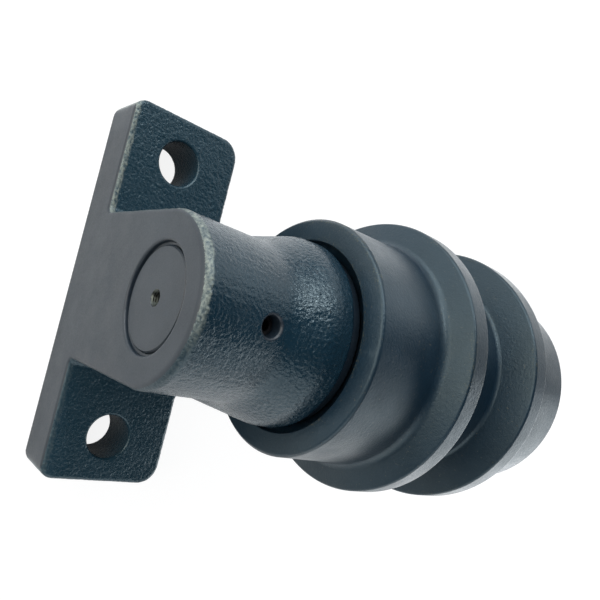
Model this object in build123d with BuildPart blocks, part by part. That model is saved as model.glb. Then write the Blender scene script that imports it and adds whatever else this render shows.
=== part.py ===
"""Cantilevered track carrier roller on its bolt-down bracket. Millimetres.

Row frame: origin midway between the two mounting bolts, on the bracket's mounting face.
+X runs from bolt to bolt, +Y along the shaft towards the roller, +Z up, away from the track frame.
"""

import os

from build123d import *

# ---- driving dimensions -------------------------------------------------------------------------
SHAFT_R = 25.0
AXIS_HEIGHT = 108.0

# bracket casting
BASE_LENGTH = 219.5
BASE_WIDTH = 73.0
BASE_THICKNESS = 30.0
BASE_FRONT_Y = -35.0
FRONT_CORNER_R = 8.0
BACK_CORNER_R = 12.0
BOLT_SPACING = 166.0
BOLT_HOLE_R = 13.0
BOSS_FRONT_R = 42.0
BOSS_NECK_R = 41.1
BOSS_NECK_Y = 9.0
FLARE_POINTS = ((19.0, 43.7), (28.0, 47.7))
COLLAR_R = 49.5
COLLAR_START_Y = 37.0
COLLAR_EDGE_R = 2.0
COLLAR_SHOULDER_Y = 44.6
COLLAR_LIP_R = 46.8
PEDESTAL_BLEND_R = 6.0
FOOT_FILLET_R = 4.0
FOOT_EDGE_MIN = 5.0
CAST_EDGE_R = 2.2
MOUTH_R = 26.7
MOUTH_DEPTH = 3.0
MOUTH_EDGE = 0.4
FINE_CHAMFER = 0.8

# roller shell, symmetric about its middle plane
ROLLER_NEAR_Y = 47.0
ROLLER_LENGTH = 178.0
TREAD_R = 64.0
TREAD_EDGE = 1.8
FLANGE_R = 78.3
FLANGE_RIM_OUTER = 36.6
FLANGE_RIM_INNER = 24.8
FLANGE_FOOT_OUTER = 41.7
FLANGE_FOOT_FILLET = 5.5
FLANGE_EDGE_R = 1.8
GROOVE_HALF_WIDTH = 19.0
GROOVE_R = 59.2
GROOVE_FILLET = 3.0
LABYRINTH_CLEARANCE = 2.1
LABYRINTH_DEPTH = 5.5
RESERVOIR_R = 37.0
TAP_OVERRUN = 4.0

# clearances, all radial except the ones named as gaps
RUNNING = 0.05
SEATED = 0.02
COVER_CLEARANCE = 0.3
BOLT_CLEARANCE = 0.5
WASHER_CLEARANCE = 0.2
LABYRINTH_GAP = 1.5
SHOULDER_GAP = 0.2
END_PLAY = 0.1

# how far cutting tools overshoot a surface, and how closely selectors match a position or a radius
CUT_MARGIN = 1.0
TOL = 0.01

# floating face seal
SEAL_RING_WIDTH = 10.0
SEAL_RING_INNER_R = 30.5
SEAL_LIP_WIDTH = 2.6
SEAL_LIP_R = 41.0
SEAL_LIP_EDGE_R = 0.5
SEAL_FACE_WIDTH = 8.0
SEAL_RAMP_TOP_R = 36.4
SEAL_RAMP_FOOT_R = 35.2
SEAL_FACE_GAP = 0.05
TORIC_RADIUS = 39.9
TORIC_SECTION_R = 4.05
TORIC_OFFSET = 6.9
SEAL_BORE_R = 44.0

# bushes
BUSH_R = 29.0
BUSH_LENGTH = 30.0
BUSH_FLANGE_R = 34.5
BUSH_FLANGE_WIDTH = 3.0
OIL_GROOVE_R = 1.5
OIL_GROOVE_COUNT = 3
BUSH_SEAT_MARGIN = 1.0
OUTER_BUSH_INSET = 36.0

# spring washers under both sets of bolts
WASHER_INSET = 0.4
WASHER_SPLIT = 1.6

# retaining plate and its bolts
PLATE_R = 33.0
PLATE_WIDTH = 8.0
PLATE_BOLT_R = 5.0
PLATE_BOLT_CIRCLE_R = 14.5
PLATE_BOLT_COUNT = 3
PLATE_HEAD_R = 9.2
PLATE_HEAD_HEIGHT = 6.4
PLATE_BOLT_ENGAGEMENT = 18.0
PLATE_WASHER_WIDTH = 2.2

# end cover, its bolts and the oil plug
COVER_R = 52.0
COVER_WIDTH = 6.0
COVER_RECESS = 14.0
SPIGOT_R = 36.0
SPIGOT_INNER_R = 29.5
SPIGOT_LENGTH = 7.5
COVER_BOLT_R = 4.0
COVER_BOLT_CIRCLE_R = 43.9
COVER_BOLT_COUNT = 4
COVER_HEAD_R = 7.5
COVER_HEAD_HEIGHT = 5.3
COVER_WASHER_WIDTH = 2.0
COVER_BOLT_ENGAGEMENT = 12.0
PLUG_R = 7.0
PLUG_HEAD_R = 11.0
PLUG_HEAD_WIDTH = 4.5
PLUG_WASHER_WIDTH = 1.4
PLUG_SOCKET_R = 4.6
PLUG_SOCKET_DEPTH = 5.5
PLUG_BOSS_R = 13.0
PLUG_BOSS_HEIGHT = 1.0

# O-rings
O_RING_SECTION_R = 1.4
O_RING_GROOVE_WIDTH = 3.6
SHAFT_O_RING_Y = 28.0
SHAFT_GROOVE_R = 22.15
COVER_GROOVE_R = 33.1

# shaft details
SHAFT_SHOULDER_R = 29.3
SHAFT_RECESS = 1.4
SHAFT_EDGE = 0.8
TAP_R = 3.4
TAP_DEPTH = 20.0
TAP_CHAMFER = 0.9
LOCK_PIN_R = 5.0
LOCK_PIN_BORE_R = 2.6
LOCK_PIN_SLOT = 1.4
LOCK_PIN_Y = 3.0
LOCK_PIN_FOOT_Z = AXIS_HEIGHT + 13.0
LOCK_PIN_LENGTH = 22.0
LOCK_PIN_MOUTH = 1.2
LOCK_PIN_MOUTH_R = 41.4

# ---- derived places along the shaft -------------------------------------------------------------
BASE_BACK_Y = BASE_FRONT_Y + BASE_WIDTH
BASE_MID_Y = (BASE_FRONT_Y + BASE_BACK_Y) / 2
ROLLER_MID_Y = ROLLER_NEAR_Y + ROLLER_LENGTH / 2
ROLLER_FAR_Y = ROLLER_NEAR_Y + ROLLER_LENGTH
SHAFT_FRONT_Y = BASE_FRONT_Y + SHAFT_RECESS

# the bracket's collar reaches into a shallow recess in the roller's near face
LABYRINTH_R = COLLAR_R + LABYRINTH_CLEARANCE
LABYRINTH_FLOOR_Y = ROLLER_NEAR_Y + LABYRINTH_DEPTH
COLLAR_END_Y = LABYRINTH_FLOOR_Y - LABYRINTH_GAP
SEAL_PLANE_Y = (LABYRINTH_FLOOR_Y + COLLAR_END_Y) / 2
FIXED_SEAL_FLOOR_Y = SEAL_PLANE_Y - TORIC_OFFSET - TORIC_SECTION_R - SEATED
TURNING_SEAL_FLOOR_Y = SEAL_PLANE_Y + TORIC_OFFSET + TORIC_SECTION_R + SEATED

INNER_BUSH_Y = TURNING_SEAL_FLOOR_Y + BUSH_FLANGE_WIDTH
SHOULDER_END_Y = TURNING_SEAL_FLOOR_Y - SHOULDER_GAP
OUTER_BUSH_Y = ROLLER_FAR_Y - OUTER_BUSH_INSET
OUTER_FLANGE_END_Y = OUTER_BUSH_Y + BUSH_FLANGE_WIDTH
RESERVOIR_START_Y = INNER_BUSH_Y + BUSH_LENGTH + BUSH_SEAT_MARGIN
RESERVOIR_END_Y = OUTER_BUSH_Y - BUSH_LENGTH - BUSH_SEAT_MARGIN

SHAFT_END_Y = OUTER_FLANGE_END_Y + END_PLAY
PLATE_END_Y = SHAFT_END_Y + PLATE_WIDTH
PLATE_HEAD_Y = PLATE_END_Y + PLATE_WASHER_WIDTH
COVER_Y = ROLLER_FAR_Y - COVER_RECESS
COVER_END_Y = COVER_Y + COVER_WIDTH
COVER_HEAD_Y = COVER_END_Y + COVER_WASHER_WIDTH
COVER_O_RING_Y = COVER_Y - SPIGOT_LENGTH / 2
PLUG_HEAD_Y = COVER_END_Y + PLUG_WASHER_WIDTH

# ---- shared datums ------------------------------------------------------------------------------
roller_axis = Axis((0, 0, AXIS_HEIGHT), (0, 1, 0))
# half-section plane: its x is the distance along the shaft, its y the radius, towards +Z
section = Plane(origin=(0, 0, AXIS_HEIGHT), x_dir=(0, 1, 0), z_dir=(1, 0, 0))


def across(y):
    """Plane square to the shaft at y, centred on the axis, looking towards +Y."""
    return Plane(origin=(0, y, AXIS_HEIGHT), x_dir=(1, 0, 0), z_dir=(0, 1, 0))


def band(y_start, y_end, r_inner, r_outer):
    """Rectangle between two stations and two radii, drawn into the open half-section sketch."""
    with Locations(((y_start + y_end) / 2, (r_inner + r_outer) / 2)):
        Rectangle(y_end - y_start, r_outer - r_inner)


def boss_outline(along_y):
    """Boss outline, out from the axis and back in, as (station, radius), or (radius, station) if along_y."""

    def place(station, radius):
        return (radius, station) if along_y else (station, radius)

    ahead = (0, 1) if along_y else (1, 0)
    body = Polyline(
        place(BASE_FRONT_Y, 0),
        place(BASE_FRONT_Y, BOSS_FRONT_R),
        place(BOSS_NECK_Y, BOSS_NECK_R),
    )
    flare = Spline(
        body @ 1,
        *[place(*point) for point in FLARE_POINTS],
        place(COLLAR_START_Y, COLLAR_R),
        tangents=[ahead, ahead],
    )
    Polyline(flare @ 1, place(COLLAR_SHOULDER_Y, COLLAR_R), place(COLLAR_SHOULDER_Y, 0))


def edges_at_radius(part, y, radius):
    """Circular edges around the roller axis at one station and one radius."""
    near = part.edges().filter_by(GeomType.CIRCLE)
    near = near.filter_by(lambda e: abs(e.radius - radius) < TOL)
    return near.filter_by(lambda e: abs(e.arc_center.Y - y) < TOL and abs(e.arc_center.X) < TOL)


os.makedirs("parts", exist_ok=True)


def save(part, name):
    """Label one sub-part and write its STEP file."""
    part.label = name
    export_step(part, f"parts/{name}.step")


# ---- bracket: base plate, pedestal and boss in one casting --------------------------------------
with BuildPart() as bracket:
    # base plate, its plan corners rounded, more so towards the roller
    with BuildSketch(Plane.XY):
        with Locations((0, BASE_MID_Y)):
            Rectangle(BASE_LENGTH, BASE_WIDTH)
        fillet(vertices().sort_by(Axis.Y)[:2], FRONT_CORNER_R)
        fillet(vertices().sort_by(Axis.Y)[-2:], BACK_CORNER_R)
    extrude(amount=BASE_THICKNESS)
    # pedestal: as wide as the boss above it at every station, so its flanks run into the boss
    with BuildSketch(Plane.XY):
        with BuildLine():
            boss_outline(along_y=True)
            mirror(about=Plane.YZ)
        make_face()
    extrude(amount=AXIS_HEIGHT)
    blends = bracket.edges().filter_by(Axis.Z).filter_by(lambda e: abs(e.length - BASE_THICKNESS) < TOL)
    blends = blends.filter_by(lambda e: abs(e.center().Y - BASE_BACK_Y) < TOL)
    fillet(blends, PEDESTAL_BLEND_R)
    # fillets where the flanks stand on the lugs
    feet = bracket.edges().filter_by(lambda e: abs(e.center().Z - BASE_THICKNESS) < TOL)
    feet = feet.filter_by(lambda e: abs(e.center().X) < COLLAR_R and e.bounding_box().size.Y > FOOT_EDGE_MIN)
    fillet(feet.filter_by(lambda e: e.bounding_box().size.Z < TOL), FOOT_FILLET_R)
    # boss: slightly waisted, then flared into the seal collar
    with BuildSketch(section):
        with BuildLine():
            boss_outline(along_y=False)
            Line((COLLAR_SHOULDER_Y, 0), (BASE_FRONT_Y, 0))
        make_face()
    revolve(axis=roller_axis)
    # lip that reaches on into the roller's recess
    with BuildSketch(section):
        band(COLLAR_SHOULDER_Y, COLLAR_END_Y, 0, COLLAR_LIP_R)
    revolve(axis=roller_axis)
    # relief at the bore's mouth, shaft bore, and the fixed half of the seal chamber
    with BuildSketch(section):
        band(BASE_FRONT_Y, BASE_FRONT_Y + MOUTH_DEPTH, 0, MOUTH_R)
        band(BASE_FRONT_Y, COLLAR_END_Y, 0, SHAFT_R + SEATED)
        band(FIXED_SEAL_FLOOR_Y, COLLAR_END_Y, 0, SEAL_BORE_R)
    revolve(axis=roller_axis, mode=Mode.SUBTRACT)
    # mounting bolt holes
    with Locations(Plane.XY.offset(BASE_THICKNESS)):
        with Locations((-BOLT_SPACING / 2, 0), (BOLT_SPACING / 2, 0)):
            Hole(BOLT_HOLE_R, BASE_THICKNESS)
    # cross hole for the lock pin, from the top of the boss into the bore
    with Locations(Plane((0, LOCK_PIN_Y, AXIS_HEIGHT + LOCK_PIN_MOUTH_R))):
        CounterSinkHole(LOCK_PIN_R + SEATED, LOCK_PIN_R + LOCK_PIN_MOUTH, BOSS_NECK_R)
    # rounded casting edges: the end face's outline, running on around the base plate's upper rim
    rim = bracket.faces().sort_by(Axis.Y)[0].edges()
    rim = rim.filter_by(lambda e: e.center().Z > BASE_THICKNESS - TOL)
    rim = rim.filter_by(lambda e: e.geom_type != GeomType.CIRCLE or abs(e.radius - MOUTH_R) > TOL)
    fillet(rim, CAST_EDGE_R)
    # machined edges
    chamfer(edges_at_radius(bracket, BASE_FRONT_Y, MOUTH_R), MOUTH_EDGE)
    fillet(edges_at_radius(bracket, COLLAR_SHOULDER_Y, COLLAR_R), COLLAR_EDGE_R)
    chamfer(edges_at_radius(bracket, COLLAR_END_Y, SEAL_BORE_R), FINE_CHAMFER)
    bolt_rims = bracket.edges().filter_by(GeomType.CIRCLE)
    bolt_rims = bolt_rims.filter_by(lambda e: abs(e.radius - BOLT_HOLE_R) < TOL)
    chamfer(bolt_rims.filter_by(lambda e: e.center().Z > BASE_THICKNESS / 2), FINE_CHAMFER)
save(bracket.part, "bracket")

# ---- shaft: carries the roller, shouldered inside the seal chamber ------------------------------
with BuildPart() as shaft:
    with BuildSketch(section):
        band(SHAFT_FRONT_Y, SHAFT_END_Y, 0, SHAFT_R)
        band(FIXED_SEAL_FLOOR_Y, SHOULDER_END_Y, 0, SHAFT_SHOULDER_R)
    revolve(axis=roller_axis)
    # O-ring groove inside the bracket's bore
    with BuildSketch(section):
        band(
            SHAFT_O_RING_Y - O_RING_GROOVE_WIDTH / 2,
            SHAFT_O_RING_Y + O_RING_GROOVE_WIDTH / 2,
            SHAFT_GROOVE_R,
            SHAFT_R + CUT_MARGIN,
        )
    revolve(axis=roller_axis, mode=Mode.SUBTRACT)
    # tapped hole in the front face, for an extractor screw
    with Locations(across(SHAFT_FRONT_Y).rotated((0, 180, 0))):
        Hole(TAP_R, TAP_DEPTH)
    # tapped holes for the retaining plate
    with Locations(across(SHAFT_END_Y)):
        with PolarLocations(PLATE_BOLT_CIRCLE_R, PLATE_BOLT_COUNT, start_angle=90):
            Hole(PLATE_BOLT_R, PLATE_BOLT_ENGAGEMENT + TAP_OVERRUN)
    # cross hole for the lock pin
    with BuildSketch(Plane((0, LOCK_PIN_Y, LOCK_PIN_FOOT_Z))):
        Circle(LOCK_PIN_R)
    extrude(amount=SHAFT_R, mode=Mode.SUBTRACT)
    chamfer(edges_at_radius(shaft, SHAFT_FRONT_Y, SHAFT_R), SHAFT_EDGE)
    chamfer(edges_at_radius(shaft, SHAFT_END_Y, SHAFT_R), SHAFT_EDGE)
    chamfer(edges_at_radius(shaft, SHAFT_FRONT_Y, TAP_R), TAP_CHAMFER)
    chamfer(edges_at_radius(shaft, SHOULDER_END_Y, SHAFT_SHOULDER_R), FINE_CHAMFER)
save(shaft.part, "shaft")

# ---- slotted spring pin that locks the shaft in the bracket -------------------------------------
with BuildPart() as shaft_lock_pin:
    with BuildSketch(Plane((0, LOCK_PIN_Y, LOCK_PIN_FOOT_Z))):
        Circle(LOCK_PIN_R)
        Circle(LOCK_PIN_BORE_R, mode=Mode.SUBTRACT)
        with Locations((0, -LOCK_PIN_R / 2)):
            Rectangle(LOCK_PIN_SLOT, LOCK_PIN_R + CUT_MARGIN, mode=Mode.SUBTRACT)
    extrude(amount=LOCK_PIN_LENGTH)
    pin_rims = shaft_lock_pin.edges().filter_by(GeomType.CIRCLE)
    chamfer(pin_rims.filter_by(lambda e: abs(e.radius - LOCK_PIN_R) < TOL), FINE_CHAMFER)
save(shaft_lock_pin.part, "shaft_lock_pin")

# ---- O-rings ------------------------------------------------------------------------------------
with BuildPart() as shaft_o_ring:
    with BuildSketch(section):
        with Locations((SHAFT_O_RING_Y, SHAFT_GROOVE_R + O_RING_SECTION_R + SEATED)):
            Circle(O_RING_SECTION_R)
    revolve(axis=roller_axis)
save(shaft_o_ring.part, "shaft_o_ring")

with BuildPart() as cover_o_ring:
    with BuildSketch(section):
        with Locations((COVER_O_RING_Y, COVER_GROOVE_R + O_RING_SECTION_R + SEATED)):
            Circle(O_RING_SECTION_R)
    revolve(axis=roller_axis)
save(cover_o_ring.part, "cover_o_ring")

# ---- floating face seal: two lapped rings, each carried by a rubber ring ------------------------
# side -1 is the half held in the bracket, side +1 the half that turns with the roller
for side, half in ((-1, "fixed"), (1, "rotating")):
    face_y = SEAL_PLANE_Y + side * SEAL_FACE_GAP / 2
    with BuildPart() as seal_ring:
        with BuildSketch(section):
            with BuildLine():
                Polyline(
                    (face_y, SEAL_LIP_R - SEAL_FACE_WIDTH),
                    (face_y, SEAL_LIP_R),
                    (face_y + side * SEAL_LIP_WIDTH, SEAL_LIP_R),
                    (face_y + side * SEAL_LIP_WIDTH, SEAL_RAMP_TOP_R),
                    (face_y + side * SEAL_RING_WIDTH, SEAL_RAMP_FOOT_R),
                    (face_y + side * SEAL_RING_WIDTH, SEAL_RING_INNER_R),
                    (face_y + side * SEAL_LIP_WIDTH, SEAL_RING_INNER_R),
                    close=True,
                )
            make_face()
        revolve(axis=roller_axis)
        fillet(edges_at_radius(seal_ring, face_y + side * SEAL_LIP_WIDTH, SEAL_LIP_R), SEAL_LIP_EDGE_R)
    save(seal_ring.part, f"{half}_seal_ring")

    with BuildPart() as toric_ring:
        with BuildSketch(section):
            with Locations((SEAL_PLANE_Y + side * TORIC_OFFSET, TORIC_RADIUS)):
                Circle(TORIC_SECTION_R)
        revolve(axis=roller_axis)
    save(toric_ring.part, f"{half}_toric_ring")

# ---- retaining plate on the shaft's far end -----------------------------------------------------
with BuildPart() as retaining_plate:
    with BuildSketch(across(SHAFT_END_Y)):
        Circle(PLATE_R)
        with PolarLocations(PLATE_BOLT_CIRCLE_R, PLATE_BOLT_COUNT, start_angle=90):
            Circle(PLATE_BOLT_R + BOLT_CLEARANCE, mode=Mode.SUBTRACT)
    extrude(amount=PLATE_WIDTH)
    chamfer(edges_at_radius(retaining_plate, PLATE_END_Y, PLATE_R), FINE_CHAMFER)
save(retaining_plate.part, "retaining_plate")

with BuildPart() as plate_washers:
    with BuildSketch(across(PLATE_END_Y)):
        with PolarLocations(PLATE_BOLT_CIRCLE_R, PLATE_BOLT_COUNT, start_angle=90):
            Circle(PLATE_HEAD_R - WASHER_INSET)
            Circle(PLATE_BOLT_R + WASHER_CLEARANCE, mode=Mode.SUBTRACT)
        # the split in each spring washer, on its outer side
        split_r = PLATE_BOLT_CIRCLE_R + (PLATE_BOLT_R + PLATE_HEAD_R) / 2
        with PolarLocations(split_r, PLATE_BOLT_COUNT, start_angle=90):
            Rectangle(PLATE_BOLT_R, WASHER_SPLIT, mode=Mode.SUBTRACT)
    extrude(amount=PLATE_WASHER_WIDTH)
save(plate_washers.part, "plate_washers")

with BuildPart() as plate_bolts:
    with BuildSketch(across(PLATE_HEAD_Y)):
        with PolarLocations(PLATE_BOLT_CIRCLE_R, PLATE_BOLT_COUNT, start_angle=90):
            RegularPolygon(PLATE_HEAD_R, 6)
    extrude(amount=PLATE_HEAD_HEIGHT)
    chamfer(plate_bolts.faces().sort_by(Axis.Y)[-PLATE_BOLT_COUNT:].edges(), FINE_CHAMFER)
    with BuildSketch(across(SHAFT_END_Y - PLATE_BOLT_ENGAGEMENT)):
        with PolarLocations(PLATE_BOLT_CIRCLE_R, PLATE_BOLT_COUNT, start_angle=90):
            Circle(PLATE_BOLT_R - SEATED)
    extrude(amount=PLATE_HEAD_Y - SHAFT_END_Y + PLATE_BOLT_ENGAGEMENT)
save(plate_bolts.part, "plate_bolts")

# ---- roller shell: two treads outside a pair of tapered guide flanges ---------------------------
with BuildPart() as roller_shell:
    with BuildSketch(section):
        with BuildLine():
            Polyline(
                (ROLLER_NEAR_Y, BUSH_R),
                (ROLLER_NEAR_Y, TREAD_R),
                (ROLLER_MID_Y - FLANGE_FOOT_OUTER, TREAD_R),
                (ROLLER_MID_Y - FLANGE_RIM_OUTER, FLANGE_R),
                (ROLLER_MID_Y - FLANGE_RIM_INNER, FLANGE_R),
                (ROLLER_MID_Y - GROOVE_HALF_WIDTH, GROOVE_R),
                (ROLLER_MID_Y + GROOVE_HALF_WIDTH, GROOVE_R),
                (ROLLER_MID_Y + FLANGE_RIM_INNER, FLANGE_R),
                (ROLLER_MID_Y + FLANGE_RIM_OUTER, FLANGE_R),
                (ROLLER_MID_Y + FLANGE_FOOT_OUTER, TREAD_R),
                (ROLLER_FAR_Y, TREAD_R),
                (ROLLER_FAR_Y, BUSH_R),
                close=True,
            )
        make_face()
    revolve(axis=roller_axis)
    # stepped bore: labyrinth recess, seal chamber, bush seats, oil reservoir, end chamber, cover seat
    with BuildSketch(section):
        band(ROLLER_NEAR_Y, LABYRINTH_FLOOR_Y, 0, LABYRINTH_R)
        band(LABYRINTH_FLOOR_Y, TURNING_SEAL_FLOOR_Y, 0, SEAL_BORE_R)
        band(TURNING_SEAL_FLOOR_Y, INNER_BUSH_Y, 0, BUSH_FLANGE_R + SEATED)
        band(INNER_BUSH_Y, OUTER_BUSH_Y, 0, BUSH_R)
        band(RESERVOIR_START_Y, RESERVOIR_END_Y, 0, RESERVOIR_R)
        band(OUTER_BUSH_Y, COVER_Y, 0, SPIGOT_R)
        band(COVER_Y, ROLLER_FAR_Y, 0, COVER_R + COVER_CLEARANCE)
    revolve(axis=roller_axis, mode=Mode.SUBTRACT)
    # tapped holes for the cover bolts
    with Locations(across(COVER_Y)):
        with PolarLocations(COVER_BOLT_CIRCLE_R, COVER_BOLT_COUNT, start_angle=45):
            Hole(COVER_BOLT_R, COVER_BOLT_ENGAGEMENT + TAP_OVERRUN)
    for end in (-1, 1):
        tread_end_y = ROLLER_MID_Y + end * ROLLER_LENGTH / 2
        chamfer(edges_at_radius(roller_shell, tread_end_y, TREAD_R), TREAD_EDGE)
        foot_y = ROLLER_MID_Y + end * FLANGE_FOOT_OUTER
        fillet(edges_at_radius(roller_shell, foot_y, TREAD_R), FLANGE_FOOT_FILLET)
        groove_y = ROLLER_MID_Y + end * GROOVE_HALF_WIDTH
        fillet(edges_at_radius(roller_shell, groove_y, GROOVE_R), GROOVE_FILLET)
        for rim in (FLANGE_RIM_INNER, FLANGE_RIM_OUTER):
            fillet(edges_at_radius(roller_shell, ROLLER_MID_Y + end * rim, FLANGE_R), FLANGE_EDGE_R)
    chamfer(edges_at_radius(roller_shell, ROLLER_NEAR_Y, LABYRINTH_R), FINE_CHAMFER)
    chamfer(edges_at_radius(roller_shell, ROLLER_FAR_Y, COVER_R + COVER_CLEARANCE), FINE_CHAMFER)
save(roller_shell.part, "roller_shell")

# ---- flanged bronze bushes pressed into the shell -----------------------------------------------
for side, name in ((1, "inner_bush"), (-1, "outer_bush")):
    flange_y = INNER_BUSH_Y if side == 1 else OUTER_BUSH_Y
    with BuildPart() as bush:
        with BuildSketch(section):
            band(flange_y - side * BUSH_FLANGE_WIDTH, flange_y, SHAFT_R + RUNNING, BUSH_FLANGE_R)
            band(flange_y, flange_y + side * BUSH_LENGTH, SHAFT_R + RUNNING, BUSH_R)
        revolve(axis=roller_axis)
        # oil grooves along the bore, open at both ends
        with BuildSketch(across(flange_y - side * BUSH_FLANGE_WIDTH)):
            with PolarLocations(SHAFT_R + RUNNING, OIL_GROOVE_COUNT, start_angle=30):
                Circle(OIL_GROOVE_R)
        extrude(amount=side * (BUSH_FLANGE_WIDTH + BUSH_LENGTH), mode=Mode.SUBTRACT)
    save(bush.part, name)

# ---- end cover: bolted disc with a spigot that seals the far chamber ----------------------------
with BuildPart() as end_cover:
    with BuildSketch(section):
        band(COVER_Y, COVER_END_Y, 0, COVER_R)
        band(COVER_Y - SPIGOT_LENGTH, COVER_Y, SPIGOT_INNER_R, SPIGOT_R - SEATED)
        band(COVER_Y - PLUG_BOSS_HEIGHT, COVER_Y, 0, PLUG_BOSS_R)
    revolve(axis=roller_axis)
    with BuildSketch(section):
        band(
            COVER_O_RING_Y - O_RING_GROOVE_WIDTH / 2,
            COVER_O_RING_Y + O_RING_GROOVE_WIDTH / 2,
            COVER_GROOVE_R,
            SPIGOT_R + CUT_MARGIN,
        )
    revolve(axis=roller_axis, mode=Mode.SUBTRACT)
    with Locations(across(COVER_END_Y)):
        Hole(PLUG_R)
        with PolarLocations(COVER_BOLT_CIRCLE_R, COVER_BOLT_COUNT, start_angle=45):
            Hole(COVER_BOLT_R + BOLT_CLEARANCE)
    chamfer(edges_at_radius(end_cover, COVER_END_Y, COVER_R), FINE_CHAMFER)
save(end_cover.part, "end_cover")

with BuildPart() as cover_washers:
    with BuildSketch(across(COVER_END_Y)):
        with PolarLocations(COVER_BOLT_CIRCLE_R, COVER_BOLT_COUNT, start_angle=45):
            Circle(COVER_HEAD_R - WASHER_INSET)
            Circle(COVER_BOLT_R + WASHER_CLEARANCE, mode=Mode.SUBTRACT)
        # the split in each spring washer, on its inner side
        split_r = COVER_BOLT_CIRCLE_R - (COVER_BOLT_R + COVER_HEAD_R) / 2
        with PolarLocations(split_r, COVER_BOLT_COUNT, start_angle=45):
            Rectangle(COVER_BOLT_R, WASHER_SPLIT, mode=Mode.SUBTRACT)
    extrude(amount=COVER_WASHER_WIDTH)
save(cover_washers.part, "cover_washers")

with BuildPart() as cover_bolts:
    with BuildSketch(across(COVER_HEAD_Y)):
        with PolarLocations(COVER_BOLT_CIRCLE_R, COVER_BOLT_COUNT, start_angle=45):
            RegularPolygon(COVER_HEAD_R, 6)
    extrude(amount=COVER_HEAD_HEIGHT)
    chamfer(cover_bolts.faces().sort_by(Axis.Y)[-COVER_BOLT_COUNT:].edges(), FINE_CHAMFER)
    with BuildSketch(across(COVER_Y - COVER_BOLT_ENGAGEMENT)):
        with PolarLocations(COVER_BOLT_CIRCLE_R, COVER_BOLT_COUNT, start_angle=45):
            Circle(COVER_BOLT_R - SEATED)
    extrude(amount=COVER_HEAD_Y - COVER_Y + COVER_BOLT_ENGAGEMENT)
save(cover_bolts.part, "cover_bolts")

# ---- oil filler plug and its sealing washer -----------------------------------------------------
with BuildPart() as oil_plug:
    with BuildSketch(section):
        band(COVER_Y - PLUG_BOSS_HEIGHT, PLUG_HEAD_Y, 0, PLUG_R - SEATED)
        band(PLUG_HEAD_Y, PLUG_HEAD_Y + PLUG_HEAD_WIDTH, 0, PLUG_HEAD_R)
    revolve(axis=roller_axis)
    # hexagon socket
    with BuildSketch(across(PLUG_HEAD_Y + PLUG_HEAD_WIDTH)):
        RegularPolygon(PLUG_SOCKET_R, 6)
    extrude(amount=-PLUG_SOCKET_DEPTH, mode=Mode.SUBTRACT)
    chamfer(edges_at_radius(oil_plug, PLUG_HEAD_Y + PLUG_HEAD_WIDTH, PLUG_HEAD_R), FINE_CHAMFER)
save(oil_plug.part, "oil_plug")

with BuildPart() as oil_plug_washer:
    with BuildSketch(across(COVER_END_Y)):
        Circle(PLUG_HEAD_R - WASHER_INSET)
        Circle(PLUG_R + WASHER_CLEARANCE, mode=Mode.SUBTRACT)
    extrude(amount=PLUG_WASHER_WIDTH)
save(oil_plug_washer.part, "oil_plug_washer")
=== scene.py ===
"""Looks of a cantilevered track carrier roller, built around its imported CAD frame. Metres.

Row frame: +X from bolt to bolt, +Y along the shaft from the bracket to the roller, +Z up from the mounting
face.
"""

import math

import bmesh
import bpy
import numpy as np
from mathutils import Matrix, Vector, noise
from mathutils.bvhtree import BVHTree


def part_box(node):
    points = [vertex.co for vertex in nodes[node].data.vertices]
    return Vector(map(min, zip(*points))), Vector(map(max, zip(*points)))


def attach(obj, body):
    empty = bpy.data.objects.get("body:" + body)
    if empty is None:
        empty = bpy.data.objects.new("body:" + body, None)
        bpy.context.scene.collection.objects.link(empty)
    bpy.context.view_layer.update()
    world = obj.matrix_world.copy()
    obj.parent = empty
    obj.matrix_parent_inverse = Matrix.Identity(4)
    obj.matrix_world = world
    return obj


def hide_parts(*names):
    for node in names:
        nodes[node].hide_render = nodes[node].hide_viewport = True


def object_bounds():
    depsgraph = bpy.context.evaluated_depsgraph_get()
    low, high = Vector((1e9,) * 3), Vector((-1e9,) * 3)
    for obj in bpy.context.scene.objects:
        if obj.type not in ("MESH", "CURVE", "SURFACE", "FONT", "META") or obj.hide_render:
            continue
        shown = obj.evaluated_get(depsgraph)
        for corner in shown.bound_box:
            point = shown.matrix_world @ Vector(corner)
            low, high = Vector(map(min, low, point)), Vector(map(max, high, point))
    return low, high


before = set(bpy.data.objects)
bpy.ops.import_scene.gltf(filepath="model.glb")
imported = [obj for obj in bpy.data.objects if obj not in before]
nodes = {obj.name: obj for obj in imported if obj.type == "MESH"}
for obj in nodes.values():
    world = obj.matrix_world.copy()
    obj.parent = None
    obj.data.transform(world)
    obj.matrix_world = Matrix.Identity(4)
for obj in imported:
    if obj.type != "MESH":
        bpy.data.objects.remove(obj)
cad_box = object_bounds()
scene = bpy.context.scene
MM = 0.001

# ---- places taken from the CAD -----------------------------------------------------------------------
SHELL_LOW, SHELL_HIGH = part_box("roller_shell")
AXIS_Z = (SHELL_LOW.z + SHELL_HIGH.z) / 2
SHAFT_FACE_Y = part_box("shaft")[0].y
END_FACE_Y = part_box("bracket")[0].y

# ---- sizes of the bracket's features -----------------------------------------------------------------
HOLE_X = 83 * MM
HOLE_WALL_REACH = 14.5 * MM
PIN_Y = 3 * MM
PIN_HOLE_Z = 130 * MM
BOSS_R = 42 * MM
MOUTH_R = 26.7 * MM
SEAL_SEAT_Y = 38 * MM
COLLAR_END_Y = 44.9 * MM
LUG_TOP_Z = 30 * MM
LUG_FADE_Z = 50 * MM

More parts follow.
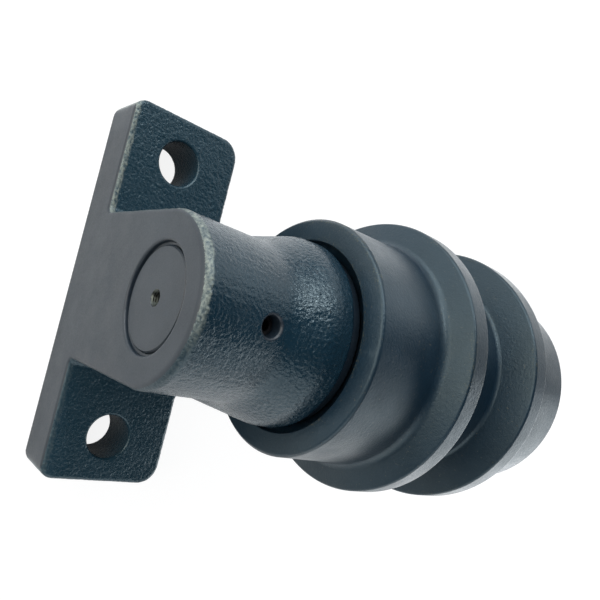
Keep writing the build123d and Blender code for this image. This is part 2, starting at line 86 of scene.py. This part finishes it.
# ---- roughness of the casting: borders of its machined faces, and the size and height of its waves ----
END_FACE_BORDER = (END_FACE_Y + 0.3 * MM, END_FACE_Y + 1.9 * MM)
MOUNTING_FACE_BORDER = (0.2 * MM, 2 * MM)
BORE_BORDER = (28 * MM, 29 * MM)
SEAL_SEAT_BORDER = (45 * MM, 46.5 * MM)
BOLT_HOLE_BORDER = (13.9 * MM, 15.5 * MM)
PIN_HOLE_BORDER = (6.3 * MM, 7.2 * MM)
FAR_AWAY = 1.0
BARE_LIMIT = 0.15
VOXEL = 0.6 * MM
SLOW_SIZE, SLOW_HEIGHT = 9 * MM, 0.09
WORM_SIZE, WORM_HEIGHT, WORM_SHARPNESS = 2.4 * MM, 0.08, 2.2
FINE_SIZE, FINE_HEIGHT = 1.4 * MM, 0.12
PATCH_SIZE, PATCH_MEAN, PATCH_SWING = 24 * MM, 0.75, 0.6
FLARE_Y, FLARE_RUN, FLARE_GAIN = 14 * MM, 12 * MM, 0.7
SEAM_WIDTH, SEAM_HEIGHT = 0.7 * MM, 0.13
WORM_OFFSET, FINE_OFFSET, PATCH_OFFSET = Vector((7, 3, 1)), Vector((2, 9, 4)), Vector((5, 5, 5))

# ---- rounding of the end face: its outer rim, blunter towards the top of the boss, and its mouth -----
RIM_R = 2.2 * MM
BLUNT_RIM_EXTRA = 2.4 * MM
BLUNT_FROM, BLUNT_TO = -4 * MM, 30 * MM
MOUTH_ROUND = 1.0 * MM
WALL_SLACK = 0.3 * MM
TINY = 1e-9

# ---- screw thread in the shaft's end -----------------------------------------------------------------
THREAD_PITCH = 1.25 * MM
THREAD_MINOR = 3.4 * MM
THREAD_MAJOR = 4.05 * MM
THREAD_DEPTH = 17 * MM
THREAD_LEAD_IN = 0.3 * MM
THREAD_CLEARANCE = 0.02 * MM
THREAD_FLAT = 1.3
THREAD_AROUND = 48
THREAD_PER_TURN = 8
FLAT_FACE_LIMIT = 0.999

# ---- shading of sharp edges --------------------------------------------------------------------------
SHAFT_SHARP_ANGLE = math.radians(25)
ROLLER_SHARP_ANGLE = math.radians(60)
SOFT_EDGE_WEIGHT = 80
SAME_POINT = 1e-6

# ---- colours -----------------------------------------------------------------------------------------
WHITE = (1, 1, 1)
DUST = (0.075, 0.068, 0.05)
# partly a painted highlight: edges lighter from rubbed paint and, standing in for light they catch, painted
# paler
EDGE_WEAR_AND_HIGHLIGHT = (0.13, 0.13, 0.11)
CHIP = (0.085, 0.08, 0.045)
# painted light: a lighter blue on the lugs, standing in for light falling on them
LUG_PAINTED_LIGHT = (0.012, 0.034, 0.05)
# painted highlight: the paler paint on the rounded rim of the end face
RIM_PAINTED_HIGHLIGHT = (0.17, 0.19, 0.17)
RUBBER_DARK, RUBBER_LIGHT = (0.012, 0.012, 0.013), (0.03, 0.03, 0.031)
LAPPED_DARK, LAPPED_LIGHT = (0.3, 0.3, 0.3), (0.45, 0.45, 0.46)
WASHER_DARK, WASHER_LIGHT = (0.08, 0.08, 0.085), (0.16, 0.16, 0.165)
BOLT_DARK, BOLT_LIGHT = (0.05, 0.05, 0.055), (0.12, 0.12, 0.125)
BRONZE_DARK, BRONZE_LIGHT = (0.45, 0.28, 0.12), (0.62, 0.42, 0.2)
PAPER_DARK, PAPER_LIGHT, PAPER_SEEN = (0.86, 0.86, 0.86), (0.9, 0.9, 0.9), (0.17, 0.17, 0.17)

# ---- paint: its patterns, where it is rubbed and chipped, and where highlights and light are painted ---
DRIFT = dict(size=50 * MM, detail=4, rough=0.6)
BLOTCH = dict(size=9 * MM, detail=5, rough=0.65)
SPECK = dict(size=1.1 * MM, detail=2, rough=0.5)
EDGE_PATCHES = dict(size=3.5 * MM, detail=4, rough=0.7)
CHIP_SPOT = dict(size=0.9 * MM, detail=3, rough=0.6)
CHIP_PATCH = dict(size=30 * MM, detail=3, rough=0.5)
SHEEN_DRIFT = dict(size=14 * MM, detail=5, rough=0.6)
RIM_RAGGED = dict(size=4 * MM, detail=3, rough=0.6)
RIM_SPECKLE = dict(size=1.6 * MM, detail=4, rough=0.65)
ORANGE_PEEL = dict(size=1.6 * MM, detail=3, rough=0.55, lumpy=0.4)
GRAIN = dict(size=0.6 * MM, detail=2, rough=0.5)
GLINT = dict(size=0.8 * MM, detail=2, rough=0.5)
# the end face's rounded rim: its painted highlight and rougher sheen, the highlight weaker towards +X
RIM_Y = END_FACE_Y + 2.6 * MM
RIM_FADE = 2.2 * MM
RIM_FADE_X = (-5 * MM, 20 * MM)
RIM_LEAST = 0.14
RAGGEDNESS = 0.35
DRY_SHEEN = 0.1
LUG_PAINTED_LIGHT_MOST = 0.6
GLINT_SWING = 0.05
EDGE_WEAR_AND_HIGHLIGHT_WIDTH = 0.9 * MM
CHIPPED_WIDTH = 5 * MM
BLOTCH_GAIN = 1.5
GRAIN_SHARE = 0.35
GRAIN_MOST = 0.00006


# ---- node materials ----------------------------------------------------------------------------------
class Surface:
    """A small helper that builds one node material."""

    def __init__(self, name):
        self.mat = bpy.data.materials.new(name)
        self.mat.use_nodes = True
        self.tree = self.mat.node_tree
        self.shader = self.tree.nodes["Principled BSDF"]
        self.place = self.node("ShaderNodeTexCoord").outputs["Object"]
        self.normal = None

    def node(self, kind, **settings):
        made = self.tree.nodes.new(kind)
        for key, value in settings.items():
            setattr(made, key, value)
        return made

    def put(self, socket, value):
        """Sets a socket to a number or a colour, or links it to an output."""
        if isinstance(value, bpy.types.NodeSocket):
            self.tree.links.new(value, socket)
        elif hasattr(value, "__len__") and len(value) == 3 and socket.type == "RGBA":
            socket.default_value = (*value, 1)
        else:
            socket.default_value = value

    def noise(self, size, detail=3, rough=0.5, stretch=(1, 1, 1), lumpy=0.0):
        """Fractal noise, 0 to 1, whose features are about `size` metres across."""
        scaled = self.node("ShaderNodeMapping", vector_type="POINT")
        self.put(scaled.inputs["Vector"], self.place)
        scaled.inputs["Scale"].default_value = stretch
        made = self.node("ShaderNodeTexNoise")
        self.put(made.inputs["Vector"], scaled.outputs["Vector"])
        settings = {"Scale": 1 / size, "Detail": detail, "Roughness": rough, "Distortion": lumpy}
        for key, number in settings.items():
            made.inputs[key].default_value = number
        return made.outputs["Fac"]

    def ramp(self, value, low, high, out_low=0.0, out_high=1.0):
        """Maps `value` from low...high to out_low...out_high, clamped."""
        made = self.node("ShaderNodeMapRange", clamp=True)
        self.put(made.inputs["Value"], value)
        ends = {"From Min": low, "From Max": high, "To Min": out_low, "To Max": out_high}
        for key, number in ends.items():
            self.put(made.inputs[key], number)
        return made.outputs["Result"]

    def math(self, operation, a, b=0.0):
        made = self.node("ShaderNodeMath", operation=operation)
        self.put(made.inputs[0], a)
        self.put(made.inputs[1], b)
        return made.outputs["Value"]

    def plus(self, a, b):
        return self.math("ADD", a, b)

    def minus(self, a, b):
        return self.math("SUBTRACT", a, b)

    def times(self, a, b):
        return self.math("MULTIPLY", a, b)

    def mix(self, amount, a, b):
        made = self.node("ShaderNodeMix", data_type="RGBA")
        self.put(made.inputs["Factor"], amount)
        self.put(made.inputs["A"], a)
        self.put(made.inputs["B"], b)
        return made.outputs["Result"]

    def split(self):
        """The object's own x, y and z at the shaded point."""
        made = self.node("ShaderNodeSeparateXYZ")
        self.put(made.inputs[0], self.place)
        return made.outputs

    def bump(self, height, distance):
        """Adds a bump, on top of any earlier one, whose full height is `distance` metres."""
        made = self.node("ShaderNodeBump")
        made.inputs["Strength"].default_value = 1.0
        made.inputs["Distance"].default_value = distance
        self.put(made.inputs["Height"], height)
        if self.normal is not None:
            self.put(made.inputs["Normal"], self.normal)
        self.normal = made.outputs["Normal"]

    def rings(self, pitch):
        """Fine turned grooves round the shaft's axis: a wave of radius and of distance along the axis."""
        x, y, z = self.split()
        high = self.minus(z, AXIS_Z)
        radius = self.math("SQRT", self.plus(self.times(x, x), self.times(high, high)))
        return self.math("SINE", self.times(self.plus(radius, y), 2 * math.pi / pitch))

    def edge(self, width, low=0.02, high=0.25):
        """1 on convex and concave edges closer than `width`, 0 on open faces."""
        soft = self.node("ShaderNodeBevel", samples=6)
        soft.inputs["Radius"].default_value = width
        straight = self.node("ShaderNodeNewGeometry").outputs["Normal"]
        dot = self.node("ShaderNodeVectorMath", operation="DOT_PRODUCT")
        self.put(dot.inputs[0], soft.outputs["Normal"])
        self.put(dot.inputs[1], straight)
        return self.ramp(self.minus(1.0, dot.outputs["Value"]), low, high)

    def done(self, colour, rough, metal=0.0, specular=0.5, tint=WHITE):
        """Fills in the shader and returns the material."""
        self.put(self.shader.inputs["Base Color"], colour)
        self.put(self.shader.inputs["Roughness"], rough)
        self.put(self.shader.inputs["Metallic"], metal)
        self.put(self.shader.inputs["Specular IOR Level"], specular)
        self.put(self.shader.inputs["Specular Tint"], tint)
        if self.normal is not None:
            self.put(self.shader.inputs["Normal"], self.normal)
        return self.mat


def paint(
    name, dark, light, rough_low, rough_high, peel, dust, wear_and_highlight=0.35, tint=WHITE, chips=0.0, rim=False
):
    """Satin blue-black paint over metal: uneven sheen, orange peel of height `peel`, edges lighter: partly
    rubbed paint, partly a painted highlight.

    `dust` and `wear_and_highlight` are the strengths of the pale specks and of the lighter edges, and
    `chips` that of the spots near edges. `rim` adds paler, drier paint on the rounding of the casting's end
    face, its paleness a painted highlight, and paints its lugs lighter as painted light falling on them.
    """
    s = Surface(name)
    drift = s.noise(**DRIFT)
    blotch = s.noise(**BLOTCH)
    colour = s.mix(s.ramp(drift, 0.35, 0.65), dark, light)
    colour = s.mix(s.ramp(blotch, 0.6, 0.75, 0, 0.35), colour, [c * BLOTCH_GAIN for c in light])
    specks = s.ramp(s.noise(**SPECK), 0.68, 0.74, 0, dust)
    colour = s.mix(specks, colour, DUST)
    edge_patches = s.ramp(s.noise(**EDGE_PATCHES), 0.42, 0.62)
    # edges lighter, convex and concave ones alike: partly rubbed paint, partly a painted highlight
    colour = s.mix(s.times(s.times(s.edge(EDGE_WEAR_AND_HIGHLIGHT_WIDTH), edge_patches), wear_and_highlight), colour, EDGE_WEAR_AND_HIGHLIGHT)
    if chips:
        spots = s.ramp(s.noise(**CHIP_SPOT), 0.56, 0.62, 0, chips)
        spots = s.times(s.edge(CHIPPED_WIDTH, 0.002, 0.03), spots)
        spots = s.times(spots, s.ramp(s.noise(**CHIP_PATCH), 0.5, 0.58))
        colour = s.mix(spots, colour, CHIP)
    sheen = s.ramp(s.noise(**SHEEN_DRIFT), 0.3, 0.7, rough_low, rough_high)
    if rim:
        x, y, z = s.split()
        near = s.ramp(y, RIM_Y, RIM_Y + RIM_FADE, 1.0, 0.0)
        ragged = s.plus(near, s.ramp(s.noise(**RIM_RAGGED), 0.3, 0.7, -RAGGEDNESS, RAGGEDNESS))
        speckle = s.ramp(s.noise(**RIM_SPECKLE), 0.36, 0.64, 0.05, 1.0)
        speckle = s.times(speckle, s.ramp(x, *RIM_FADE_X, 1.0, RIM_LEAST))
        # painted light: the cast paint lighter below LUG_FADE_Z, most on the lugs, standing in for light on
        # them
        colour = s.mix(s.ramp(z, LUG_TOP_Z, LUG_FADE_Z, LUG_PAINTED_LIGHT_MOST, 0), colour, LUG_PAINTED_LIGHT)
        # painted highlight on the end face's rounded rim, speckled and ragged, weaker towards +X
        colour = s.mix(s.times(s.ramp(ragged, 0.3, 0.8), speckle), colour, RIM_PAINTED_HIGHLIGHT)
        sheen = s.plus(sheen, s.times(near, DRY_SHEEN))
    s.bump(s.noise(**ORANGE_PEEL), peel)
    s.bump(s.noise(**GRAIN), min(peel * GRAIN_SHARE, GRAIN_MOST))
    sheen = s.plus(sheen, s.ramp(s.noise(**GLINT), 0.3, 0.7, -GLINT_SWING, GLINT_SWING))
    return s.done(colour, sheen, tint=tint)


def bare_metal(name, dark, light, rough, pitch=0.0004, depth=0.00001):
    """Machined metal with turned grooves, stains and small scratches."""
    s = Surface(name)
    colour = s.mix(s.ramp(s.noise(0.006, 5, 0.6), 0.3, 0.7), dark, light)
    s.bump(s.rings(pitch), depth)
    s.bump(s.noise(0.0008, 4, 0.7, stretch=(1, 0.15, 1)), depth)
    sheen = s.ramp(s.noise(0.004, 4), 0.3, 0.7, rough * 0.75, rough * 1.3)
    return s.done(colour, sheen, metal=1.0)


def moulded_rubber(name):
    s = Surface(name)
    colour = s.mix(s.noise(0.004, 3), RUBBER_DARK, RUBBER_LIGHT)
    s.bump(s.noise(0.0006, 3), 0.00002)
    return s.done(colour, s.ramp(s.noise(0.003, 3), 0.3, 0.7, 0.5, 0.75), specular=0.35)


roller_paint = paint(
    "roller_paint", (0.0032, 0.0112, 0.0205), (0.005, 0.0158, 0.0285), 0.36, 0.46,
    peel=0.00015, dust=0.6, wear_and_highlight=0.6, tint=(0.78, 0.96, 1), chips=0.8,
)
cast_paint = paint(
    "cast_paint", (0.0032, 0.014, 0.0245), (0.005, 0.0195, 0.033), 0.19, 0.31,
    peel=0.0004, dust=0.3, tint=(0.8, 0.96, 1), rim=True,
)
face_paint = paint(
    "face_paint", (0.0065, 0.013, 0.021), (0.0095, 0.0175, 0.027), 0.38, 0.48,
    peel=0.00003, dust=0.3,
)
looks = {
    "bracket": cast_paint,
    "shaft": face_paint,
    "roller_shell": roller_paint,
    "end_cover": roller_paint,
    "shaft_lock_pin": bare_metal("spring_steel", (0.025, 0.025, 0.028), (0.06, 0.06, 0.065), 0.45),
    "shaft_o_ring": moulded_rubber("nitrile_shaft"),
    "cover_o_ring": moulded_rubber("nitrile_cover"),
    "fixed_toric_ring": moulded_rubber("nitrile_fixed"),
    "rotating_toric_ring": moulded_rubber("nitrile_turning"),
    "fixed_seal_ring": bare_metal("lapped_iron_fixed", LAPPED_DARK, LAPPED_LIGHT, 0.25, 0.0003),
    "rotating_seal_ring": bare_metal("lapped_iron_turning", LAPPED_DARK, LAPPED_LIGHT, 0.25, 0.0003),
    "retaining_plate": bare_metal("turned_steel", (0.35, 0.35, 0.36), (0.5, 0.5, 0.5), 0.32, 0.0006),
    "plate_washers": bare_metal("plate_washer_steel", WASHER_DARK, WASHER_LIGHT, 0.45),
    "plate_bolts": bare_metal("plate_bolt_steel", BOLT_DARK, BOLT_LIGHT, 0.42),
    "cover_washers": bare_metal("cover_washer_steel", WASHER_DARK, WASHER_LIGHT, 0.45),
    "cover_bolts": bare_metal("cover_bolt_steel", BOLT_DARK, BOLT_LIGHT, 0.42),
    "inner_bush": bare_metal("bored_bronze_inner", BRONZE_DARK, BRONZE_LIGHT, 0.3, 0.0005),
    "outer_bush": bare_metal("bored_bronze_outer", BRONZE_DARK, BRONZE_LIGHT, 0.3, 0.0005),
    "oil_plug": bare_metal("plug_steel", (0.06, 0.06, 0.065), (0.14, 0.14, 0.145), 0.4),
    "oil_plug_washer": bare_metal("soft_copper", (0.5, 0.24, 0.13), (0.72, 0.38, 0.24), 0.35),
}


# ---- helpers for meshes ------------------------------------------------------------------------------
def paint_with(mesh, *materials):
    mesh.materials.clear()
    for material in materials:
        mesh.materials.append(material)


def new_object(work, name):
    """A new object from a bmesh, which is freed."""
    mesh = bpy.data.meshes.new(name)
    work.to_mesh(mesh)
    work.free()
    made = bpy.data.objects.new(name, mesh)
    scene.collection.objects.link(made)
    return made


def clean_copy(node, name):
    """A new object with a CAD node's surface, its doubled vertices merged."""
    work = bmesh.new()
    work.from_mesh(nodes[node].data)
    bmesh.ops.remove_doubles(work, verts=work.verts, dist=SAME_POINT)
    return new_object(work, name)


def apply_modifiers(obj):
    """Bakes an object's modifiers into its mesh."""
    mesh = bpy.data.meshes.new_from_object(obj.evaluated_get(bpy.context.evaluated_depsgraph_get()))
    obj.modifiers.clear()
    obj.data = mesh


def shade_smooth(mesh):
    mesh.polygons.foreach_set("use_smooth", np.ones(len(mesh.polygons), bool))


def read_points(collection, key):
    flat = np.empty(len(collection) * 3, np.float64)
    collection.foreach_get(key, flat)
    return flat.reshape(-1, 3)


def write_points(mesh, co):
    mesh.vertices.foreach_set("co", co.ravel())
    mesh.update()


def smooth_step(value, low, high):
    t = np.clip((value - low) / (high - low), 0, 1)
    return t * t * (3 - 2 * t)


def show(piece, node, body):
    """Shows a piece in a CAD node's place, on that node's body."""
    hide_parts(node)
    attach(piece, body)


for node, material in looks.items():
    paint_with(nodes[node].data, material)


# ---- bracket: its own surface, remeshed finely and given the lumps and wrinkles of sand casting ------
def bolt_distance(x, y):
    return np.hypot(np.abs(x) - HOLE_X, y)


def casting_mask(co):
    """1 where the casting was left rough, 0 on machined faces."""
    x, y, z = co.T
    around = np.hypot(x, z - AXIS_Z)
    mask = smooth_step(y, *END_FACE_BORDER)
    mask *= smooth_step(z, *MOUNTING_FACE_BORDER)
    mask *= smooth_step(around, *BORE_BORDER)
    mask *= np.where(y > SEAL_SEAT_Y, smooth_step(around, *SEAL_SEAT_BORDER), 1)
    mask *= np.where(y > COLLAR_END_Y, 0, 1)
    mask *= smooth_step(bolt_distance(x, y), *BOLT_HOLE_BORDER)
    pin = np.where(z > PIN_HOLE_Z, np.hypot(x, y - PIN_Y), FAR_AWAY)
    return mask * smooth_step(pin, *PIN_HOLE_BORDER)


def round_rim(co, wall_r, blunt, near, outward):
    """Rounds the edge between the end face and a wall round the shaft's axis, to radius `blunt`.

    `near` picks the vertices that may move. `outward` is 1 where the metal lies outside the wall, as in a
    bore, and -1 where it lies inside it.
    """
    x, y, z = co.T
    high = z - AXIS_Z
    reach = np.hypot(x, high)
    behind = y - END_FACE_Y
    inside = outward * (reach - wall_r)
    corner = near & (behind < blunt) & (np.abs(inside) < blunt) & (inside > -WALL_SLACK)
    blunt = blunt[corner]
    out = np.stack([behind[corner] - blunt, inside[corner] - blunt])
    out *= blunt / np.maximum(np.hypot(*out), TINY)
    scale = (wall_r + outward * (out[1] + blunt)) / reach[corner]
    co[corner, 0] = x[corner] * scale
    co[corner, 2] = AXIS_Z + high[corner] * scale
    co[corner, 1] = END_FACE_Y + out[0] + blunt


def round_end_face(co):
    """Blunts the casting around the top of its boss, and breaks the edge of the bore's mouth."""
    high = co[:, 2] - AXIS_Z
    blunt = RIM_R + BLUNT_RIM_EXTRA * smooth_step(high, BLUNT_FROM, BLUNT_TO)
    round_rim(co, BOSS_R, blunt, high > BLUNT_FROM, -1)
    round_rim(co, MOUTH_R, np.full(len(co), MOUTH_ROUND), np.ones(len(co), bool), 1)


def cast_height(point):
    """Height of the cast skin at one point, in millimetres: slow waves, wrinkles, fine lumps and a seam."""
    slow = noise.noise(point / SLOW_SIZE)
    worm = 1 - WORM_SHARPNESS * abs(noise.noise(point / WORM_SIZE + WORM_OFFSET))
    fine = noise.noise(point / FINE_SIZE + FINE_OFFSET)
    patch = PATCH_MEAN + PATCH_SWING * noise.noise(point / PATCH_SIZE + PATCH_OFFSET)
    patch *= 1 + FLARE_GAIN * min(1, max(0, (point.y - FLARE_Y) / FLARE_RUN))
    seam = math.exp(-((point.x / SEAM_WIDTH) ** 2)) if point.z > AXIS_Z else 0
    return SLOW_HEIGHT * slow + patch * (WORM_HEIGHT * worm + FINE_HEIGHT * fine) + SEAM_HEIGHT * seam


casting = clean_copy("bracket", "bracket_casting")
exact = bmesh.new()
exact.from_mesh(casting.data)
surface = BVHTree.FromBMesh(exact)
exact.free()
remesh = casting.modifiers.new("remesh", "REMESH")
remesh.mode = "VOXEL"
remesh.voxel_size = VOXEL
apply_modifiers(casting)
for vertex in casting.data.vertices:
    vertex.co = surface.find_nearest(vertex.co)[0]
casting.data.update()
co = read_points(casting.data.vertices, "co")
round_end_face(co)
write_points(casting.data, co)
normals = read_points(casting.data.vertex_normals, "vector")
mask = casting_mask(co)
height = np.array([cast_height(Vector(c)) if m > 0 else 0.0 for c, m in zip(co, mask)])
co += normals * (height * mask * MM)[:, None]
write_points(casting.data, co)

paint_with(casting.data, cast_paint, face_paint)
corners = [list(f.vertices) for f in casting.data.polygons]
rough_faces = np.array([mask[c].mean() for c in corners])
centres = np.array([co[c].mean(axis=0) for c in corners])
bare_faces = (rough_faces < BARE_LIMIT) & (bolt_distance(centres[:, 0], centres[:, 1]) > HOLE_WALL_REACH)
casting.data.polygons.foreach_set("material_index", bare_faces.astype(np.int32))
shade_smooth(casting.data)
casting.data.update()
show(casting, "bracket", "support")


# ---- shaft: the same solid with a real screw thread in the hole in its front face --------------------
def thread_cutter(face_y):
    """A closed screw shape along +Y, starting just outside the shaft's front face."""
    rows = (int(THREAD_DEPTH / THREAD_PITCH) + 1) * THREAD_PER_TURN
    work = bmesh.new()
    grid = []
    for i in range(rows + 1):
        y = face_y - THREAD_LEAD_IN + i * THREAD_PITCH / THREAD_PER_TURN
        ring = []
        for k in range(THREAD_AROUND):
            phase = (y / THREAD_PITCH - k / THREAD_AROUND) % 1.0
            crest = min(1, (1 - abs(2 * phase - 1)) * THREAD_FLAT)
            radius = THREAD_MINOR - THREAD_CLEARANCE + (THREAD_MAJOR - THREAD_MINOR) * crest
            angle = 2 * math.pi * k / THREAD_AROUND
            point = (radius * math.cos(angle), y, AXIS_Z + radius * math.sin(angle))
            ring.append(work.verts.new(point))
        grid.append(ring)
    for low, high in zip(grid, grid[1:]):
        for k in range(THREAD_AROUND):
            n = (k + 1) % THREAD_AROUND
            work.faces.new((low[k], low[n], high[n], high[k]))
    work.faces.new(grid[0][::-1])
    work.faces.new(grid[-1])
    bmesh.ops.recalc_face_normals(work, faces=work.faces)
    return new_object(work, "thread_cutter")


turned = clean_copy("shaft", "shaft_turned")
cutter = thread_cutter(SHAFT_FACE_Y)
cut = turned.modifiers.new("thread", "BOOLEAN")
cut.operation = "DIFFERENCE"
cut.solver = "EXACT"
cut.object = cutter
apply_modifiers(turned)
bpy.data.objects.remove(cutter)
thread_steel = bare_metal("thread_steel", (0.03, 0.034, 0.032), (0.09, 0.1, 0.09), 0.35)
paint_with(turned.data, face_paint, thread_steel)
turned.data.set_sharp_from_angle(angle=SHAFT_SHARP_ANGLE)
THREAD_END_Y = SHAFT_FACE_Y + THREAD_DEPTH + MM
for polygon in turned.data.polygons:
    polygon.use_smooth = abs(polygon.normal.y) < FLAT_FACE_LIMIT
    x, y, z = polygon.center
    if polygon.use_smooth and math.hypot(x, z - AXIS_Z) < THREAD_MAJOR and y < THREAD_END_Y:
        polygon.material_index = 1
show(turned, "shaft", "support")

# ---- roller: the same solid, its small edge chamfers shaded as soft rounds ---------------------------
roller = clean_copy("roller_shell", "roller_turned")
paint_with(roller.data, roller_paint)
shade_smooth(roller.data)
roller.data.set_sharp_from_angle(angle=ROLLER_SHARP_ANGLE)
weighted = roller.modifiers.new("soft_edges", "WEIGHTED_NORMAL")
weighted.keep_sharp = True
weighted.weight = SOFT_EDGE_WEIGHT
apply_modifiers(roller)
show(roller, "roller_shell", "roller")

# ---- floor: evenly white to the camera, but to the object it glows from behind the roller ---------------
FLOOR_SIZE = 12.0
FLOOR_GAP = 0.5 * MM
FLOOR_SHOWN = 0.88
NEAR_GLOW = (0.02, 0.22, 0.07, 0.42)
FAR_GLOW = (0.35, 0.7, 0, 1.5)
bpy.ops.mesh.primitive_plane_add(size=FLOOR_SIZE, location=(0, 0, cad_box[0].z - FLOOR_GAP))
floor = bpy.context.object
floor.name = "floor"
paper = Surface("pale_paper")
tone = paper.mix(paper.noise(0.8, 2), PAPER_DARK, PAPER_LIGHT)
seen = paper.node("ShaderNodeLightPath").outputs["Is Camera Ray"]
along = paper.split()["Y"]
glow = paper.plus(paper.ramp(along, *NEAR_GLOW), paper.ramp(along, *FAR_GLOW))
hidden = paper.times(paper.minus(1.0, seen), glow)
paper.put(paper.shader.inputs["Emission Color"], WHITE)
paper.put(paper.shader.inputs["Emission Strength"], paper.plus(paper.times(seen, FLOOR_SHOWN), hidden))
floor.data.materials.append(paper.done(paper.mix(seen, tone, PAPER_SEEN), 0.8, specular=0.1))

# ---- backdrop: pale to the camera and all but dark to the object, so that the softboxes shape it -----
BACKDROP_SEEN = 0.9
BACKDROP_LIGHT = 0.04
world = bpy.data.worlds.new("studio")
scene.world = world
world.use_nodes = True
tree = world.node_tree
backdrop = tree.nodes["Background"]
backdrop.inputs["Color"].default_value = (*WHITE, 1)
path = tree.nodes.new("ShaderNodeLightPath")
choose = tree.nodes.new("ShaderNodeMix")
tree.links.new(path.outputs["Is Camera Ray"], choose.inputs["Factor"])
choose.inputs["A"].default_value = BACKDROP_LIGHT
choose.inputs["B"].default_value = BACKDROP_SEEN
tree.links.new(choose.outputs["Result"], backdrop.inputs["Strength"])

# ---- softboxes: name, azimuth from +X towards +Y, elevation, size, watts, colour ---------------------
LIGHT_DISTANCE = 0.95
WARM = (1.0, 0.96, 0.88)
COOL = (0.93, 0.97, 1.0)
SOFTBOXES = (
    ("front_left", 211, 17, 0.65, 6.4, COOL),
    ("front", 262, 18, 0.8, 6.4, WARM),
    ("over_camera", 268, 50, 0.25, 1.0, WHITE),
    ("left_high", 195, 46, 0.25, 3.3, COOL),
    ("right", 0, 24, 0.9, 4.8, COOL),
    ("back_right", 68, 15, 0.8, 6.0, COOL),
    ("back", 113, 17, 0.5, 0.8, WHITE),
    ("back_left", 148, 28, 0.8, 2.8, COOL),
)
middle = (cad_box[0] + cad_box[1]) / 2
for name, azimuth, elevation, size, watts, colour in SOFTBOXES:
    light = bpy.data.lights.new(name, "AREA")
    light.shape = "SQUARE"
    light.size = size
    light.energy = watts
    light.color = colour
    turn, tilt = math.radians(azimuth), math.radians(elevation)
    level = Vector((math.cos(turn), math.sin(turn), 0))
    offset = level * math.cos(tilt) + Vector((0, 0, math.sin(tilt)))
    lamp = bpy.data.objects.new(name, light)
    lamp.location = middle + offset * LIGHT_DISTANCE
    lamp.rotation_mode = "QUATERNION"
    lamp.rotation_quaternion = (-offset).to_track_quat("-Z", "Y")
    scene.collection.objects.link(lamp)

# ---- camera at the photograph's viewing angle: its place, and its right, up and backward directions -----
CAMERA_PLACE = (0.00779, -0.15572, 0.34542)
CAMERA_AXES = (
    (-0.24550, 0.76771, 0.59191),
    (-0.96890, -0.21380, -0.12456),
    (0.03092, -0.60408, 0.79632),
)
camera_data = bpy.data.cameras.new("camera")
camera_data.sensor_width = 36.0
camera_data.lens = 35.195
camera_data.shift_x = 0.0748
camera_data.shift_y = 0.0375
camera_data.clip_start, camera_data.clip_end = 0.01, 50
camera = bpy.data.objects.new("camera", camera_data)
camera.matrix_world = Matrix.Translation(CAMERA_PLACE) @ Matrix(CAMERA_AXES).transposed().to_4x4()
scene.collection.objects.link(camera)
scene.camera = camera
scene.view_settings.view_transform = "Standard"
